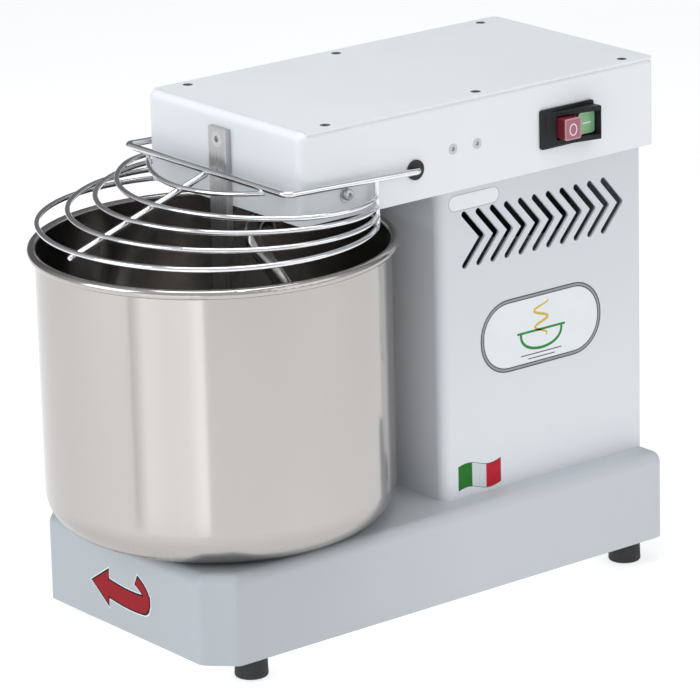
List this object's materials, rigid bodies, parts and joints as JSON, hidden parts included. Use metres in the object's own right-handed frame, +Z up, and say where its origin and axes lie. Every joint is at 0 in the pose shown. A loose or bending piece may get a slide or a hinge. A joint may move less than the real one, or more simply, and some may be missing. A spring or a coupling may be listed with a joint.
{
  "type": "spiral dough mixer",
  "caption": "Bench spiral dough mixer: turning steel bowl, spiral hook and breaker bar under a hinged wire guard, with motor, gearbox and chain drives inside white casings.",
  "frame": {"origin": "middle of the footprint at the floor under the feet", "axes": "+Z up, the bowl is at the front (-Y), the switch is on the right-hand side (+X)"},
  "size_m": [0.271, 0.4836, 0.394],
  "materials": {
    "white_coat": "white powder coat",
    "plate_steel": "white powder coat",
    "black_rubber": "matt",
    "plated_screws": "bright zinc plate",
    "stainless_bar": "ground",
    "polished_stainless": "polished",
    "chrome_wire": "bright plate",
    "grey_iron": "painted grey",
    "turned_steel": "machined",
    "chain_steel": "oiled",
    "bearing_steel": "ground",
    "cast_aluminium": "as cast",
    "motor_windings": "varnished copper and lamination steel",
    "black_plastic": "moulded",
    "red_plastic": "moulded",
    "green_plastic": "moulded"
  },
  "bodies": {
    "chassis": {"base_casing": "white_coat", "base_floor_plate": "plate_steel", "rubber_feet": "black_rubber", "foot_bolts": "plated_screws", "column_casing": "white_coat", "column_rear_cover": "plate_steel", "cover_screws": "plated_screws", "column_bolts": "plated_screws", "head_casing": "white_coat", "head_top_cover": "white_coat", "breaker_bar": "stainless_bar", "breaker_bar_screws": "plated_screws", "bowl_bearing_housing": "grey_iron", "flange_screws": "plated_screws", "bowl_chain": "chain_steel", "spiral_bearing_housing": "grey_iron", "spiral_seal": "black_rubber", "spiral_chain": "chain_steel", "main_shaft_bearing_housings": "grey_iron", "bearing_outer_rings": "bearing_steel", "gearbox_housing": "grey_iron", "gearbox_cover": "grey_iron", "gearbox_screws": "plated_screws", "motor_flange": "cast_aluminium", "motor_frame": "cast_aluminium", "motor_stator": "motor_windings", "motor_end_shield": "cast_aluminium", "motor_fan_cover": "black_plastic", "start_capacitor": "black_plastic", "switch_bezel": "black_plastic", "switch_body": "black_plastic", "guard_grommets": "black_rubber", "guard_stop_screws": "plated_screws", "side_screws": "plated_screws", "guard_microswitch": "black_plastic", "cable_gland": "black_plastic"},
    "bowl": {"bowl": "polished_stainless", "bowl_spindle": "turned_steel", "bowl_hub_screws": "plated_screws", "bowl_sprocket": "turned_steel", "bowl_bearing_inner_rings": "bearing_steel"},
    "spiral": {"spiral_tool": "polished_stainless", "spiral_shaft": "turned_steel", "spiral_sprocket": "turned_steel", "spiral_bearing_inner_rings": "bearing_steel"},
    "main_shaft": {"main_shaft": "turned_steel", "drive_sprockets": "turned_steel", "output_gear": "turned_steel", "main_shaft_bearing_inner_rings": "bearing_steel"},
    "layshaft": {"layshaft": "turned_steel", "layshaft_gears": "turned_steel", "layshaft_bearing_inner_rings": "bearing_steel"},
    "rotor": {"motor_rotor": "turned_steel", "motor_fan": "black_plastic", "motor_bearing_inner_rings": "bearing_steel"},
    "guard": {"guard": "chrome_wire", "guard_cam": "turned_steel"},
    "stop_button": {"stop_button": "red_plastic"},
    "start_button": {"start_button": "green_plastic"}
  },
  "joints": [
    {"name": "spiral_spin", "type": "hinge", "parent": "chassis", "child": "spiral", "pos_m": [0, -0.03927, 0.3], "axis": [0, 0, -1], "continuous": true, "deforming": ["spiral_chain"]},
    {"name": "bowl_spin", "type": "hinge", "parent": "chassis", "child": "bowl", "pos_m": [0, -0.10625, 0.088], "axis": [0, 0, -1], "continuous": true, "deforming": ["bowl_chain"]},
    {"name": "main_shaft_spin", "type": "hinge", "parent": "chassis", "child": "main_shaft", "pos_m": [0, 0.09405, 0.2], "axis": [0, 0, -1], "continuous": true},
    {"name": "layshaft_spin", "type": "hinge", "parent": "chassis", "child": "layshaft", "pos_m": [0.03642, 0.13906, 0.12], "axis": [0, 0, -1], "continuous": true},
    {"name": "rotor_spin", "type": "hinge", "parent": "chassis", "child": "rotor", "pos_m": [0, 0.17075, 0.2], "axis": [0, 0, -1], "continuous": true},
    {"name": "guard_hinge", "type": "hinge", "parent": "chassis", "child": "guard", "pos_m": [0, 0.00925, 0.3492], "axis": [-1, 0, 0], "range_deg": [0, 150]},
    {"name": "stop_press", "type": "slide", "parent": "chassis", "child": "stop_button", "axis": [-1, 0, 0], "range_m": [0, 0.0025], "stiffness_N_per_m": 900},
    {"name": "start_press", "type": "slide", "parent": "chassis", "child": "start_button", "axis": [-1, 0, 0], "range_m": [0, 0.0025], "stiffness_N_per_m": 900}
  ],
  "couplings": [
    {"joint": "main_shaft_spin", "follows": "spiral_spin", "ratio": 1.1176},
    {"joint": "bowl_spin", "follows": "spiral_spin", "ratio": 0.22353},
    {"joint": "layshaft_spin", "follows": "spiral_spin", "ratio": -3.9446},
    {"joint": "rotor_spin", "follows": "spiral_spin", "ratio": 13.922}
  ]
}
